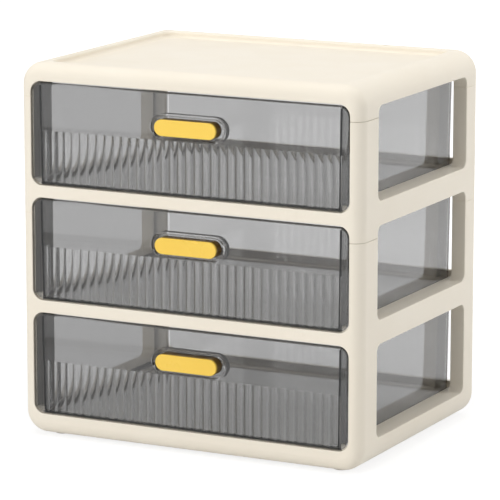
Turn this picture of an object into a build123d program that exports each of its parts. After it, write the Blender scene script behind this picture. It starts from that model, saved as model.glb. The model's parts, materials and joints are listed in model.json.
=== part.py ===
from build123d import *
from math import radians, tan
import os

# Desktop cabinet with three see-through drawers. Millimetres, +Z up, the drawers pull out towards -Y.
# The origin lies on the table, under the middle of the whole object with its handles.

# Cabinet body
body_width = 330.0
body_depth = 247.5
outline_radius = 20.0  # corners of the front view
edge_radius = 11.0  # edges round the front and the back face
foot_height = 2.5
base_rail = 18.2  # front rail under the lowest drawer
middle_rail = 11.0  # front rail between two drawers
top_rail = 16.2  # front rail above the highest drawer
opening_width = 307.0
opening_height = 91.8
opening_radius = 10.0
passage_radius = 8.0
edge_break = 0.8  # small rounding along the openings and the windows

# Cutting and choosing
past = 1.0  # how far a cut runs past the face it opens
nearly = 0.01  # two places this close count as one

# Walls, shelves and rails
side_wall = 13.0
shelf_thickness = 3.0
rail_depth = 12.0
curb_width = 6.4  # curb beside the drawer, inside the side wall
sill_height = 6.0  # curb and window sill, above the shelf
window_head = 4.3  # head of a window, under the top of the front opening
front_column = 33.2
back_column = 28.5
window_radius = 7.0
back_lip_height = 8.7
back_lip_depth = 5.0
back_radius = 10.0

# Tray on top
rim_side = 22.0
rim_front = 14.2
tray_depth = 6.0
tray_corner = 12.0
rim_inner_radius = 2.4
tray_floor_radius = 2.8

# Seams between the mouldings
seam_drop = 14.0  # from the top of an opening down to the seam
seam_groove = 0.35
spigot_height = 7.0
spigot_width = 7.4
spigot_wall = 3.0  # column wall left at the ends of a socket
spigot_gap = 0.2

# Feet
foot_inset_x = 28.0
foot_inset_y = 23.0
foot_radius = 8.0
foot_seat_depth = 1.0
foot_seat_gap = 0.15
foot_edge = 0.8
foot_boss_radius = 13.0
stem_radius = 3.4
stem_length = 7.0
stem_gap = 0.1
underside_rim = 19.0  # width of the base's rim, seen from below
underside_radius = 10.0
underside_rib = 2.0
underside_rib_height = 9.0

# Drawer
panel_gap = 1.1  # between the front panel and the opening
panel_thickness = 3.2
panel_setback = 0.4
panel_edge = 1.5
panel_seat_gap = 0.8  # from the back of the panel to the step it comes to rest before
tub_wall = 2.0
tub_floor = 2.4
tub_curb_gap = 0.7  # between the tub and the curb, at the floor
tub_back_space = 15.4  # from the back of the cabinet to the tub, at the floor
tub_rim_drop = 2.6  # from the top of the panel down to the rim of the tub
tub_corner = 2.8  # inner corners at the back
tub_floor_radius = 2.0
tub_outer_radius = 2.4
tub_rim_edge = 0.6
tub_draft = 0.65  # degrees
skid_gap = 0.3
skid_height = 0.7
skid_width = 6.0
skid_inset = 9.0
flute_count = 35
flute_pitch = 8.35
flute_depth = 1.2
flute_start = 3.4  # above the opening's lower edge
flute_end = 48.7
drawer_travel = 160.0
lug_length = 10.0
lug_overlap = 2.2  # how far a stop lug stands above the opening's upper edge
lug_gap = 0.3

# Handle
handle_length = 59.6
handle_height = 14.4
handle_proud = 3.5
handle_centre = 60.3  # above the opening's lower edge
handle_edge = 0.9
pocket_length = 69.8
pocket_height = 19.5
pocket_depth = 7.0
pocket_wall = 1.6
pocket_back = 3.0  # thickness behind the pocket
pocket_edge = 0.6
peg_spacing = 34.0
peg_width = 6.0
peg_height = 4.0
peg_gap = 0.15
barb_reach = 0.9
barb_length = 1.6

# Heights and places worked out from the sizes
tier_names = ["lower", "middle", "upper"]
tier_floors = [
    foot_height + base_rail + tier * (opening_height + middle_rail)
    for tier in range(len(tier_names))
]
body_top = tier_floors[-1] + opening_height + top_rail
body_height = body_top - foot_height
front = -(body_depth - handle_proud) / 2
back = front + body_depth
body_middle = (front + back) / 2
inner_half = body_width / 2 - side_wall
curb_face = inner_half - curb_width
tray_floor = body_top - tray_depth
ceilings = [floor - shelf_thickness for floor in tier_floors[1:]] + [tray_floor - shelf_thickness]
upper_seam = tier_floors[2] + opening_height - seam_drop
lower_seam = tier_floors[1] + opening_height - seam_drop
window_length = body_depth - front_column - back_column
window_height = opening_height - sill_height - window_head
front_plane = Plane.XZ.offset(-front)
rebate_depth = panel_setback + panel_thickness + panel_seat_gap

os.makedirs("parts", exist_ok=True)


def save(piece, label):
    """Names a finished piece and writes it to its own file."""
    piece.part.label = label
    export_step(piece.part, f"parts/{label}.step")


def tier_void(floor, ceiling):
    """Makes the empty space of one tier: mouth, passage, headroom, back opening and windows."""
    middle = floor + opening_height / 2
    window_middle = floor + sill_height + window_height / 2
    with BuildPart() as void:
        with BuildSketch(front_plane):
            with Locations((0, middle)):
                RectangleRounded(opening_width, opening_height, opening_radius)
        extrude(amount=-rebate_depth)
        with BuildSketch(front_plane):
            with Locations((0, middle)):
                RectangleRounded(2 * inner_half, opening_height, passage_radius)
        extrude(amount=-(body_depth - back_lip_depth))
        with BuildSketch(Plane.XY.offset(middle)):
            with Locations((0, body_middle)):
                Rectangle(2 * inner_half, body_depth - 2 * rail_depth)
        extrude(amount=ceiling - middle)
        with BuildSketch(front_plane):
            with Locations((0, middle + back_lip_height / 2)):
                RectangleRounded(2 * inner_half, opening_height - back_lip_height, back_radius)
        extrude(amount=-(body_depth + past))
        with BuildSketch(Plane.YZ):
            with Locations((front + front_column + window_length / 2, window_middle)):
                RectangleRounded(window_length, window_height, window_radius)
        extrude(amount=body_width / 2 + past, both=True)
    return void.part


def curb_pair(floor):
    """Makes the curb on each side of a drawer, level with the window sills."""
    curb_length = body_depth - rebate_depth - back_lip_depth
    with BuildPart() as curbs:
        with BuildSketch(Plane.XY.offset(floor)):
            with Locations((0, front + rebate_depth + curb_length / 2)):
                Rectangle(2 * inner_half, curb_length)
                Rectangle(2 * curb_face, curb_length, mode=Mode.SUBTRACT)
        extrude(amount=sill_height)
    return curbs.part


def column_sections(gap):
    """Draws the four spigots, each smaller than its socket by the gap on every side."""
    front_length = front_column - edge_radius - spigot_wall
    back_length = back_column - edge_radius - spigot_wall
    column_x = inner_half + side_wall / 2
    with BuildSketch() as sections:
        for side in (-1, 1):
            with Locations((side * column_x, front + edge_radius + front_length / 2)):
                Rectangle(spigot_width - 2 * gap, front_length - 2 * gap)
            with Locations((side * column_x, back - edge_radius - back_length / 2)):
                Rectangle(spigot_width - 2 * gap, back_length - 2 * gap)
    return sections.sketch


def is_outer(edge):
    """Tells the edges on the cabinet's outer skin from those of its openings."""
    place = edge.center()
    beside = abs(place.X) > body_width / 2 - edge_radius
    return beside and (
        abs(place.X) > body_width / 2 - nearly
        or edge.geom_type == GeomType.CIRCLE
        or place.Y < front + nearly
        or place.Y > back - nearly
    )


def groove_seam(seam):
    """Bevels the outer edge of a mating face, so that the seam shows as a fine line."""
    chamfer(edges().filter_by_position(Axis.Z, seam, seam).filter_by(is_outer), seam_groove)


# The whole cabinet in one piece, before it is parted at the seams
with BuildPart() as cabinet:
    with BuildSketch(front_plane):
        with Locations((0, foot_height + body_height / 2)):
            RectangleRounded(body_width, body_height, outline_radius)
    extrude(amount=-body_depth)
    end_faces = faces().filter_by(Axis.Y)
    fillet(end_faces.edges(), edge_radius)
    for floor, ceiling in zip(tier_floors, ceilings):
        add(tier_void(floor, ceiling), mode=Mode.SUBTRACT)
    mouths = faces().filter_by(Axis.Y).sort_by(Axis.Y)[0].inner_wires().edges()
    windows = faces().filter_by(Axis.X).sort_by(Axis.X)
    window_edges = windows[0].inner_wires().edges() + windows[-1].inner_wires().edges()
    fillet(mouths + window_edges, edge_break)
    for floor in tier_floors:
        add(curb_pair(floor))

# Lid with its tray
with BuildPart() as top_cover:
    add(cabinet.part)
    split(bisect_by=Plane.XY.offset(upper_seam), keep=Keep.TOP)
    with BuildSketch(Plane.XY.offset(body_top)):
        with Locations((0, body_middle)):
            RectangleRounded(body_width - 2 * rim_side, body_depth - 2 * rim_front, tray_corner)
    extrude(amount=-tray_depth, mode=Mode.SUBTRACT)
    fillet(faces().filter_by(Axis.Z).sort_by(Axis.Z)[-1].inner_wires().edges(), rim_inner_radius)
    tray_edges = edges().filter_by_position(Axis.Z, tray_floor, tray_floor)
    fillet(tray_edges, tray_floor_radius)
    groove_seam(upper_seam)
    with BuildSketch(Plane.XY.offset(upper_seam)):
        add(column_sections(0))
    extrude(amount=spigot_height + spigot_gap, mode=Mode.SUBTRACT)
save(top_cover, "top_cover")

# Moulding round the upper drawer
with BuildPart() as middle_frame:
    add(cabinet.part)
    split(bisect_by=Plane.XY.offset(upper_seam), keep=Keep.BOTTOM)
    split(bisect_by=Plane.XY.offset(lower_seam), keep=Keep.TOP)
    groove_seam(upper_seam)
    groove_seam(lower_seam)
    with BuildSketch(Plane.XY.offset(upper_seam)):
        add(column_sections(spigot_gap))
    extrude(amount=spigot_height)
    with BuildSketch(Plane.XY.offset(lower_seam)):
        add(column_sections(0))
    extrude(amount=spigot_height + spigot_gap, mode=Mode.SUBTRACT)
save(middle_frame, "middle_frame")

# Where the four feet stand
foot_places = [
    (side * (body_width / 2 - foot_inset_x), y)
    for y in (front + foot_inset_y, back - foot_inset_y)
    for side in (-1, 1)
]
foot_names = ["foot_front_left", "foot_front_right", "foot_rear_left", "foot_rear_right"]
underside_depth = tier_floors[0] - shelf_thickness - foot_height
underside_width = body_width - 2 * underside_rim
underside_length = body_depth - 2 * underside_rim

# Moulding round the middle and the lower drawer
with BuildPart() as base_frame:
    add(cabinet.part)
    split(bisect_by=Plane.XY.offset(lower_seam), keep=Keep.BOTTOM)
    groove_seam(lower_seam)
    with BuildSketch(Plane.XY.offset(lower_seam)):
        add(column_sections(spigot_gap))
    extrude(amount=spigot_height)
    with BuildSketch(Plane.XY.offset(foot_height)):
        with Locations((0, body_middle)):
            RectangleRounded(underside_width, underside_length, underside_radius)
        with Locations(*foot_places):
            Circle(foot_boss_radius, mode=Mode.SUBTRACT)
    extrude(amount=underside_depth, mode=Mode.SUBTRACT)
    with BuildSketch(Plane.XY.offset(tier_floors[0] - shelf_thickness - underside_rib_height)):
        with Locations((0, body_middle)):
            with GridLocations(underside_width / 4, 0, 3, 1):
                Rectangle(underside_rib, underside_length)
            with GridLocations(0, underside_length / 3, 1, 2):
                Rectangle(underside_width, underside_rib)
    extrude(amount=underside_rib_height)
    with BuildSketch(Plane.XY.offset(foot_height)):
        with Locations(*foot_places):
            Circle(foot_radius + foot_seat_gap)
    extrude(amount=foot_seat_depth, mode=Mode.SUBTRACT)
    with BuildSketch(Plane.XY.offset(foot_height + foot_seat_depth)):
        with Locations(*foot_places):
            Circle(stem_radius + stem_gap)
    extrude(amount=stem_length + stem_gap, mode=Mode.SUBTRACT)
save(base_frame, "base_frame")

for name, (x, y) in zip(foot_names, foot_places):
    with BuildPart() as foot:
        with BuildSketch(Plane.XY):
            with Locations((x, y)):
                Circle(foot_radius)
        extrude(amount=foot_height + foot_seat_depth)
        fillet(edges().sort_by(Axis.Z)[0], foot_edge)
        with BuildSketch(Plane.XY.offset(foot_height + foot_seat_depth)):
            with Locations((x, y)):
                Circle(stem_radius)
        extrude(amount=stem_length)
    save(foot, name)

# Drawer sizes, with heights above the lower edge of its opening
panel_front = front + panel_setback
panel_back = panel_front + panel_thickness
panel_top = opening_height - panel_gap
tub_bottom = skid_gap + skid_height
tub_height = panel_top - tub_rim_drop - tub_bottom
tub_half = curb_face - tub_curb_gap
tub_back = back - tub_back_space
flare = tan(radians(tub_draft))
room_floor = tub_bottom + tub_floor
flute_radius = (flute_pitch**2 / 4 + flute_depth**2) / (2 * flute_depth)


def draw_tub(half_width, back_y, corner):
    """Draws the tub's plan: square at the front panel, rounded at the back."""
    with Locations((0, (panel_back + back_y) / 2)):
        Rectangle(2 * half_width, back_y - panel_back)
    fillet(vertices().group_by(Axis.Y)[-1], corner)


def build_tub_block(inset, bottom, top, floor_radius):
    """Makes the tub's tapered block, or with an inset the room inside it."""
    with BuildPart() as block:
        for height in (bottom, top):
            spread = (height - tub_bottom) * flare - inset
            with BuildSketch(Plane.XY.offset(height)):
                draw_tub(tub_half + spread, tub_back + spread, tub_corner + tub_wall - inset)
        loft(ruled=True)
        lowest = faces().sort_by(Axis.Z)[0].edges()
        fillet(lowest.filter_by(lambda edge: edge.center().Y > panel_back + nearly), floor_radius)
    return block.part


tub_rim = tub_bottom + tub_height
tub_block = build_tub_block(0, tub_bottom, tub_rim, tub_outer_radius)
tub_room = build_tub_block(tub_wall, room_floor, tub_rim + past, tub_floor_radius)

# One drawer's see-through moulding, with the lower edge of its opening at height 0
with BuildPart() as drawer_tub:
    with BuildSketch(Plane.XZ.offset(-panel_front)):
        with Locations((0, opening_height / 2)):
            RectangleRounded(
                opening_width - 2 * panel_gap,
                opening_height - 2 * panel_gap,
                opening_radius - panel_gap,
            )
    extrude(amount=-panel_thickness)
    fillet(faces().sort_by(Axis.Y)[0].edges(), panel_edge)
    add(tub_block)
    add(tub_room, mode=Mode.SUBTRACT)
    rim_edges = edges().filter_by_position(Axis.Z, tub_rim, tub_rim)
    fillet(rim_edges.filter_by(lambda edge: edge.center().Y > panel_back + nearly), tub_rim_edge)
    # Boss behind the panel that makes room for the handle
    with BuildSketch(Plane.XZ.offset(-panel_back)):
        with Locations((0, handle_centre)):
            SlotOverall(pocket_length + 2 * pocket_wall, pocket_height + 2 * pocket_wall)
    extrude(amount=-(pocket_depth + pocket_back - panel_thickness))
    with BuildSketch(Plane.XZ.offset(-panel_front)):
        with Locations((0, handle_centre)):
            SlotOverall(pocket_length, pocket_height)
    extrude(amount=-pocket_depth, mode=Mode.SUBTRACT)
    mouth = edges().filter_by_position(Axis.Y, panel_front, panel_front)
    fillet(mouth.filter_by(lambda edge: abs(edge.center().X) < pocket_length / 2), pocket_edge)
    with BuildSketch(Plane.XZ.offset(-panel_front)):
        with Locations((0, handle_centre)):
            with GridLocations(peg_spacing, 0, 2, 1):
                Rectangle(peg_width + 2 * peg_gap, peg_height + 2 * peg_gap)
    extrude(amount=-(pocket_depth + pocket_back), mode=Mode.SUBTRACT)
    # Flutes in the lower half of the panel's front
    with BuildSketch(Plane.XY.offset(flute_start)):
        with Locations((0, panel_front + flute_depth - flute_radius)):
            with GridLocations(flute_pitch, 0, flute_count, 1):
                Circle(flute_radius)
    extrude(amount=flute_end - flute_start, mode=Mode.SUBTRACT)
    # Skids that the drawer slides on
    with BuildSketch(Plane.XY.offset(skid_gap)):
        with Locations((0, (panel_back + tub_back) / 2)):
            with GridLocations(2 * (tub_half - skid_inset), 0, 2, 1):
                Rectangle(skid_width, tub_back - panel_back - 2 * skid_inset)
    extrude(amount=skid_height)
    # Stop lugs on the rims, which meet the front rail when the drawer is fully out
    lug_front = front + rail_depth + drawer_travel + lug_gap
    rim_half = tub_half + tub_height * flare
    with BuildSketch(Plane.XY.offset(tub_rim - tub_wall)):
        with Locations((0, lug_front + lug_length / 2)):
            with GridLocations(2 * rim_half - tub_wall, 0, 2, 1):
                Rectangle(tub_wall, lug_length)
    extrude(amount=opening_height + lug_overlap - tub_rim + tub_wall)

# One handle, at the same height
pocket_floor = panel_front + pocket_depth
handle_front = front - handle_proud
peg_back = pocket_floor + pocket_back + peg_gap
with BuildPart() as drawer_handle:
    with BuildSketch(Plane.XZ.offset(-handle_front)):
        with Locations((0, handle_centre)):
            SlotOverall(handle_length, handle_height)
    extrude(amount=-(pocket_floor - handle_front))
    fillet(faces().sort_by(Axis.Y)[0].edges(), handle_edge)
    with BuildSketch(Plane.XZ.offset(-pocket_floor)):
        with Locations((0, handle_centre)):
            with GridLocations(peg_spacing, 0, 2, 1):
                Rectangle(peg_width, peg_height)
    extrude(amount=-(peg_back + barb_length - pocket_floor))
    for side in (-1, 1):
        with BuildSketch(Plane.XY.offset(handle_centre - peg_height / 2)):
            with BuildLine():
                peg_side = side * (peg_spacing + peg_width) / 2
                Polyline(
                    (peg_side - side * peg_width / 2, peg_back),
                    (peg_side + side * barb_reach, peg_back),
                    (peg_side, peg_back + barb_length),
                    (peg_side - side * peg_width / 2, peg_back + barb_length),
                    close=True,
                )
            make_face()
        extrude(amount=peg_height)

for tier, floor in zip(tier_names, tier_floors):
    with BuildPart() as tub:
        add(drawer_tub.part.moved(Location((0, 0, floor))))
    save(tub, f"{tier}_drawer_tub")
    with BuildPart() as handle:
        add(drawer_handle.part.moved(Location((0, 0, floor))))
    save(handle, f"{tier}_drawer_handle")

print("overall height", round(body_top, 2), "front", round(front, 2), "back", round(back, 2))
print("seams", round(lower_seam, 2), round(upper_seam, 2))
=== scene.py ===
import json
import math

import bpy
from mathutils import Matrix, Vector

# Desktop cabinet with three see-through drawers.
# Metres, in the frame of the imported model, with -Y towards the user.
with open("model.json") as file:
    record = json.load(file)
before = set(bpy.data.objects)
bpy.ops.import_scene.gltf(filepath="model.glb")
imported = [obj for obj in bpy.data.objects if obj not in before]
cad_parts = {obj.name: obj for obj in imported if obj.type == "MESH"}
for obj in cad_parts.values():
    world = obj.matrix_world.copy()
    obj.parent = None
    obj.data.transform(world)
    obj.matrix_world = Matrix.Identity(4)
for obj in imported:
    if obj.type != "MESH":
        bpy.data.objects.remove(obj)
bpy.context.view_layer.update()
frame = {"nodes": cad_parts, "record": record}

MM = 0.001

# Camera, at the photograph's viewing angle
CAMERA_TARGET = Vector((-0.0021, 0.0018, 0.1593))
CAMERA_AZIMUTH = math.radians(26.90)
CAMERA_ELEVATION = math.radians(11.45)
CAMERA_DISTANCE = 3.0053
CAMERA_LENS = 242.97
CAMERA_REACH = 50.0
SENSOR_WIDTH = 36.0

# Light: the world's level from every side, and how much more of it comes from the front
WORLD_FLAT = 0.14
WORLD_FRONT = 0.66
# Lamps that face the cabinet: name, place, side length, watts
SOFTBOXES = (
    ("key", (-1.0, -2.7, 1.2), 1.6, 36.0),
    ("fill", (1.9, 1.3, 1.0), 1.4, 23.4),
    ("top", (0.0, 0.0, 2.2), 1.8, 25.0),
)

# The floor: lit as a grey, and seen as a paler grey with a glow that grows to white far off
FLOOR_SIZE = 14.0
FLOOR_COLOUR = (0.80, 0.80, 0.80)
FLOOR_ROUGHNESS = 0.9
FLOOR_SEEN = (0.30, 0.30, 0.30)
FLOOR_GLOW_NEAR, FLOOR_GLOW_FAR = 0.80, 1.0
FLOOR_NEAR, FLOOR_FAR = 0.25, 0.90

# Opaque plastics: two linear colours that drift into each other, the roughness's range, and
# the scale and strength of the grain
CREAM = ((0.860, 0.795, 0.680), (0.840, 0.770, 0.650)), (0.40, 0.50), (2200.0, 0.10)
YELLOW = ((0.94, 0.64, 0.100), (0.90, 0.59, 0.080)), (0.26, 0.34), (2600.0, 0.05)
FOOT = ((0.80, 0.74, 0.65), (0.80, 0.74, 0.65)), (0.60, 0.72), (1500.0, 0.15)
PLASTIC_IOR = 1.49
NOISE_LOW, NOISE_HIGH = 0.3, 0.7  # the values that a noise texture mostly keeps to
DRIFT_SCALE, DRIFT_DETAIL = 9.0, 3.0
PATCH_SCALE, PATCH_DETAIL = 38.0, 4.0
WAVE_SCALE, WAVE_DETAIL = 55.0, 1.0
WAVE_STRENGTH, WAVE_DEPTH = 0.12, 0.0004
GRAIN_DETAIL, GRAIN_ROUGHNESS, GRAIN_DEPTH = 2.0, 0.6, 0.00008

# Painted shade in the groove where two mouldings meet, and where it fades out
SEAM_SHADE = (0.55, 0.49, 0.39)
SEAM_HEIGHTS = (0.2013, 0.3041)
SEAM_CORE, SEAM_EDGE = 0.20 * MM, 0.45 * MM
SEAM_FAINT = 0.1
SEAM_LEFT, SEAM_RIGHT = -0.10, 0.12
SEAM_FRONT, SEAM_BACK = -0.08, 0.08

# The columns' inner faces close beside a drawer, up to a depth and a half width
GAP_SHADE = (0.38, 0.34, 0.28)
GAP_REACH = 0.012
GAP_SAMPLES = 8
GAP_OPEN, GAP_CLOSED = 0.9, 0.6  # how open the place is where the shade starts and is full
GAP_BACK, GAP_BACK_BLEND = -0.101, 3 * MM
GAP_SIDE, GAP_SIDE_BLEND = 0.153, 2 * MM
UPRIGHT_LOW, UPRIGHT_HIGH = 0.7, 0.95

# Painted shade on the handle's flanks, deep beside the pocket
YELLOW_SHADE = (0.20, 0.11, 0.02)
SHADE_START, SHADE_FULL = -125.2 * MM, -122.0 * MM

# See-through plastic: what a wall lets through, over how far it is turned to the side
SMOKE_STEPS = (
    (0.01, 0.575),  # faces the front or the back
    (0.05, 0.90),  # the middle of a flute, where the plastic is thin
    (0.24, 0.90),
    (0.42, 0.47),  # where a flute turns steep and the plastic is thick
    (0.60, 0.47),
    (0.90, 0.48),  # faces the side
)
SMOKE_FLOOR = (0.94, 0.94, 0.94)  # the thinner floor
LEVEL_LOW, LEVEL_HIGH = 0.75, 0.95
SMOKE_IOR = 1.50
SMOKE_ROUGHNESS = 0.015
SMOKE_PATCH_SCALE, SMOKE_PATCH_DETAIL = 26.0, 3.0
SMOKE_WAVE_SCALE, SMOKE_WAVE_DETAIL = 30.0, 1.0
SMOKE_WAVE_STRENGTH, SMOKE_WAVE_DEPTH = 0.03, 0.0002


def fill(tree, node, inputs):
    """Gives each input a plain value, or links it to another node's output."""
    for key, value in inputs.items():
        if isinstance(value, bpy.types.NodeSocket):
            tree.links.new(value, node.inputs[key])
        else:
            node.inputs[key].default_value = value


def add_node(tree, kind, inputs, **settings):
    """Adds a shader node with its settings and what goes into its inputs."""
    node = tree.nodes.new(f"ShaderNode{kind}")
    for name, value in settings.items():
        setattr(node, name, value)
    fill(tree, node, inputs)
    return node


def add_math(tree, operation, first, second=0.0):
    """Adds one step of arithmetic."""
    node = add_node(tree, "Math", {0: first, 1: second}, operation=operation)
    return node.outputs["Value"]


def add_ramp(tree, value, low, high, start=0.0, end=1.0, curve="LINEAR"):
    """Adds a ramp that runs from start to end while the value runs from low to high."""
    node = add_node(tree, "MapRange", {
        "Value": value, "From Min": low, "From Max": high, "To Min": start, "To Max": end,
    }, interpolation_type=curve)
    return node.outputs["Result"]


def add_axes(tree, kind):
    """Gives X, Y and Z of a texture coordinate of this kind."""
    coordinates = add_node(tree, "TexCoord", {})
    parts = add_node(tree, "SeparateXYZ", {"Vector": coordinates.outputs[kind]})
    return parts.outputs["X"], parts.outputs["Y"], parts.outputs["Z"]


def add_noise(tree, scale, detail, roughness=0.5):
    """Adds noise in the object's own space, so that it rides with the piece."""
    coordinates = add_node(tree, "TexCoord", {})
    noise = add_node(tree, "TexNoise", {
        "Vector": coordinates.outputs["Object"],
        "Scale": scale, "Detail": detail, "Roughness": roughness,
    })
    return noise.outputs["Fac"]


def add_spread(tree, noise, low, high):
    """Spreads a noise over a range."""
    return add_ramp(tree, noise, NOISE_LOW, NOISE_HIGH, low, high)


def add_mix(tree, amount, first, second):
    """Mixes two colours."""
    node = add_node(tree, "Mix", {}, data_type="RGBA")
    fill(tree, node, {"Factor": amount, "A": first, "B": second})
    return node.outputs["Result"]


def add_colour(tree, shader, amount, colour):
    """Lays another colour over what feeds the shader's base colour."""
    base = shader.inputs["Base Color"].links[0].from_socket
    fill(tree, shader, {"Base Color": add_mix(tree, amount, base, (*colour, 1.0))})


def add_bump(tree, shader, height, strength, distance, earlier=None):
    """Adds a bump to a shader, on top of an earlier one if there is one."""
    inputs = {"Strength": strength, "Distance": distance, "Height": height}
    if earlier is not None:
        inputs["Normal"] = earlier
    bump = add_node(tree, "Bump", inputs)
    fill(tree, shader, {"Normal": bump.outputs["Normal"]})
    return bump.outputs["Normal"]


def new_material(name):
    """Makes a node material and returns it with its tree and its shader."""
    material = bpy.data.materials.new(name)
    material.use_nodes = True
    tree = material.node_tree
    return material, tree, tree.nodes["Principled BSDF"]


def make_moulded(name, colours, roughness, grain):
    """Opaque moulded plastic: slow drift in the colour, uneven satin, fine spark-eroded grain."""
    material, tree, shader = new_material(name)
    first, second = colours
    scale, strength = grain
    drift = add_spread(tree, add_noise(tree, DRIFT_SCALE, DRIFT_DETAIL), 0.0, 1.0)
    patches = add_noise(tree, PATCH_SCALE, PATCH_DETAIL)
    fill(tree, shader, {
        "Base Color": add_mix(tree, drift, (*first, 1.0), (*second, 1.0)),
        "Roughness": add_spread(tree, patches, *roughness),
        "IOR": PLASTIC_IOR,
    })
    waves = add_noise(tree, WAVE_SCALE, WAVE_DETAIL)
    flow = add_bump(tree, shader, waves, WAVE_STRENGTH, WAVE_DEPTH)
    grains = add_noise(tree, scale, GRAIN_DETAIL, GRAIN_ROUGHNESS)
    add_bump(tree, shader, grains, strength, GRAIN_DEPTH, flow)
    return material, tree, shader


def make_cream():
    """Cream moulded plastic, with a painted shade line in the groove where two mouldings meet."""
    material, tree, shader = make_moulded("cream_plastic", *CREAM)
    x, y, z = add_axes(tree, "Object")
    to_right = add_ramp(tree, x, SEAM_LEFT, SEAM_RIGHT, SEAM_FAINT, 1.0)
    to_front = add_ramp(tree, y, SEAM_FRONT, SEAM_BACK, 1.0, SEAM_FAINT)
    clear = add_math(tree, "MULTIPLY", to_right, to_front)
    for height in SEAM_HEIGHTS:
        away = add_math(tree, "ABSOLUTE", add_math(tree, "SUBTRACT", z, height))
        line = add_ramp(tree, away, SEAM_CORE, SEAM_EDGE, 1.0, 0.0)
        # painted shade along the seam's groove, faint towards the left and the back
        add_colour(tree, shader, add_math(tree, "MULTIPLY", line, clear), SEAM_SHADE)
    shade_gaps(tree, shader, x, y)
    return material


def shade_gaps(tree, shader, x, y):
    """Darkens the front columns' inner faces beside a drawer, where little light comes in."""
    around = add_node(tree, "AmbientOcclusion", {"Distance": GAP_REACH}, samples=GAP_SAMPLES)
    turned = add_math(tree, "ABSOLUTE", add_axes(tree, "Normal")[0])
    out = add_math(tree, "ABSOLUTE", x)
    amount = add_ramp(tree, around.outputs["AO"], GAP_OPEN, GAP_CLOSED)
    for factor in (
        add_ramp(tree, turned, UPRIGHT_LOW, UPRIGHT_HIGH),
        add_ramp(tree, y, GAP_BACK - GAP_BACK_BLEND, GAP_BACK, 1.0, 0.0),
        add_ramp(tree, out, GAP_SIDE, GAP_SIDE + GAP_SIDE_BLEND, 1.0, 0.0),
    ):
        amount = add_math(tree, "MULTIPLY", amount, factor)
    add_colour(tree, shader, amount, GAP_SHADE)


def make_handle():
    """Yellow moulded plastic, with painted shade where it stands deep in its pocket."""
    material, tree, shader = make_moulded("yellow_plastic", *YELLOW)
    y = add_axes(tree, "Object")[1]
    depth = add_ramp(tree, y, SHADE_START, SHADE_FULL, curve="SMOOTHSTEP")
    # painted shade, growing deeper in the pocket
    add_colour(tree, shader, depth, YELLOW_SHADE)
    return material


def make_smoke():
    """See-through grey plastic, darker where it is thick, with a faint unevenness in its polish."""
    material, tree, shader = new_material("smoke_plastic")
    x, _, z = add_axes(tree, "Normal")
    tint = add_node(tree, "ValToRGB", {"Fac": add_math(tree, "ABSOLUTE", x)})
    stops = tint.color_ramp.elements
    stops.remove(stops[1])
    for index, (place, level) in enumerate(SMOKE_STEPS):
        stop = stops.new(place) if index else stops[0]
        stop.position = place
        stop.color = (level, level, level, 1.0)
    patches = add_noise(tree, SMOKE_PATCH_SCALE, SMOKE_PATCH_DETAIL)
    fill(tree, shader, {
        "Base Color": tint.outputs["Color"],
        "Transmission Weight": 1.0,
        "IOR": SMOKE_IOR,
        "Roughness": add_spread(tree, patches, 0.0, SMOKE_ROUGHNESS),
    })
    level = add_ramp(tree, add_math(tree, "ABSOLUTE", z), LEVEL_LOW, LEVEL_HIGH)
    add_colour(tree, shader, level, SMOKE_FLOOR)
    waves = add_noise(tree, SMOKE_WAVE_SCALE, SMOKE_WAVE_DETAIL)
    add_bump(tree, shader, waves, SMOKE_WAVE_STRENGTH, SMOKE_WAVE_DEPTH)
    return material


def make_floor_material():
    """Pale floor that shows white where it is lit and keeps a soft shadow."""
    material, tree, shader = new_material("pale_floor")
    fill(tree, shader, {"Base Color": (*FLOOR_COLOUR, 1.0), "Roughness": FLOOR_ROUGHNESS})
    coordinates = add_node(tree, "TexCoord", {})
    away = add_node(
        tree, "VectorMath", {0: coordinates.outputs["Object"]}, operation="LENGTH"
    ).outputs["Value"]
    level = add_ramp(tree, away, FLOOR_NEAR, FLOOR_FAR, FLOOR_GLOW_NEAR, FLOOR_GLOW_FAR)
    pale = add_node(tree, "BsdfDiffuse", {"Color": (*FLOOR_SEEN, 1.0)})
    glow = add_node(tree, "Emission", {"Color": (1.0, 1.0, 1.0, 1.0), "Strength": level})
    seen = add_node(
        tree, "AddShader", {0: pale.outputs["BSDF"], 1: glow.outputs["Emission"]}
    )
    mix = add_node(tree, "MixShader", {
        0: add_seen(tree), 1: shader.outputs["BSDF"], 2: seen.outputs["Shader"],
    })
    fill(tree, tree.nodes["Material Output"], {"Surface": mix.outputs["Shader"]})
    return material


def add_seen(tree):
    """Gives 1 for a ray that looks at the backdrop, straight, mirrored or through plastic.

    A ray that has met a dull surface on its way gathers light for it, and isn't one of these.
    """
    rays = add_node(tree, "LightPath", {}).outputs
    looks = add_math(tree, "MAXIMUM", rays["Is Camera Ray"], rays["Is Glossy Ray"])
    looks = add_math(tree, "MAXIMUM", looks, rays["Is Transmission Ray"])
    straight = add_math(tree, "LESS_THAN", rays["Diffuse Depth"], 0.5)
    return add_math(tree, "MULTIPLY", looks, straight)


def make_world():
    """White where it is seen, and elsewhere a soft light that grows towards the front."""
    world = bpy.data.worlds.new("studio")
    bpy.context.scene.world = world
    world.use_nodes = True
    tree = world.node_tree
    y = add_axes(tree, "Generated")[1]
    light = add_ramp(tree, y, 0.0, -1.0, WORLD_FLAT, WORLD_FLAT + WORLD_FRONT)
    fill(tree, tree.nodes["Background"], {
        "Color": (1.0, 1.0, 1.0, 1.0),
        "Strength": add_ramp(tree, add_seen(tree), 0.0, 1.0, light, 1.0),
    })


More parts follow.
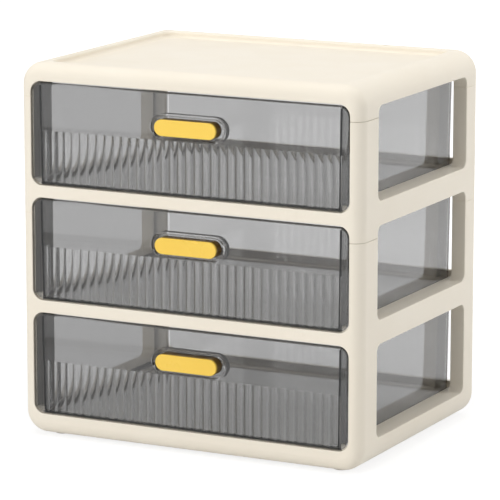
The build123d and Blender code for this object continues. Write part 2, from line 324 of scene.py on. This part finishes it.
def add_camera():
    """Places the camera where the photograph was taken from."""
    flat = math.cos(CAMERA_ELEVATION)
    away = Vector((
        math.sin(CAMERA_AZIMUTH) * flat,
        -math.cos(CAMERA_AZIMUTH) * flat,
        math.sin(CAMERA_ELEVATION),
    ))
    data = bpy.data.cameras.new("camera")
    data.lens = CAMERA_LENS
    data.sensor_width = SENSOR_WIDTH
    data.clip_end = CAMERA_REACH
    camera = bpy.data.objects.new("camera", data)
    camera.location = CAMERA_TARGET + CAMERA_DISTANCE * away
    camera.rotation_mode = "QUATERNION"
    camera.rotation_quaternion = (-away).to_track_quat("-Z", "Y")
    bpy.context.scene.collection.objects.link(camera)
    bpy.context.scene.camera = camera


def add_softbox(name, place, side, watts):
    """Adds a large soft lamp that faces the cabinet's middle and isn't seen or mirrored."""
    data = bpy.data.lights.new(name, "AREA")
    data.shape = "RECTANGLE"
    data.size = side
    data.size_y = side
    data.energy = watts
    lamp = bpy.data.objects.new(name, data)
    lamp.location = place
    lamp.rotation_mode = "QUATERNION"
    lamp.rotation_quaternion = (CAMERA_TARGET - Vector(place)).to_track_quat("-Z", "Y")
    lamp.visible_camera = False
    lamp.visible_glossy = False
    bpy.context.scene.collection.objects.link(lamp)


def add_floor():
    """Lays the floor that the feet stand on."""
    bpy.ops.mesh.primitive_plane_add(size=FLOOR_SIZE, location=(0.0, 0.0, 0.0))
    floor = bpy.context.active_object
    floor.name = "floor"
    floor.data.materials.append(make_floor_material())


def dress_nodes():
    """Gives each CAD node the material of its slot."""
    materials = {
        "cream": make_cream(),
        "yellow": make_handle(),
        "feet": make_moulded("foot_rubber", *FOOT)[0],
        "smoke": make_smoke(),
    }
    for subpart in frame["record"]["subparts"]:
        node = frame["nodes"][subpart["node"]]
        material = materials[subpart["material_slot"]]
        if not node.data.materials:
            node.data.materials.append(material)
        for slot in node.material_slots:
            slot.material = material


add_camera()
make_world()
add_floor()
for softbox in SOFTBOXES:
    add_softbox(*softbox)
dress_nodes()

bpy.context.scene.view_settings.view_transform = "Standard"
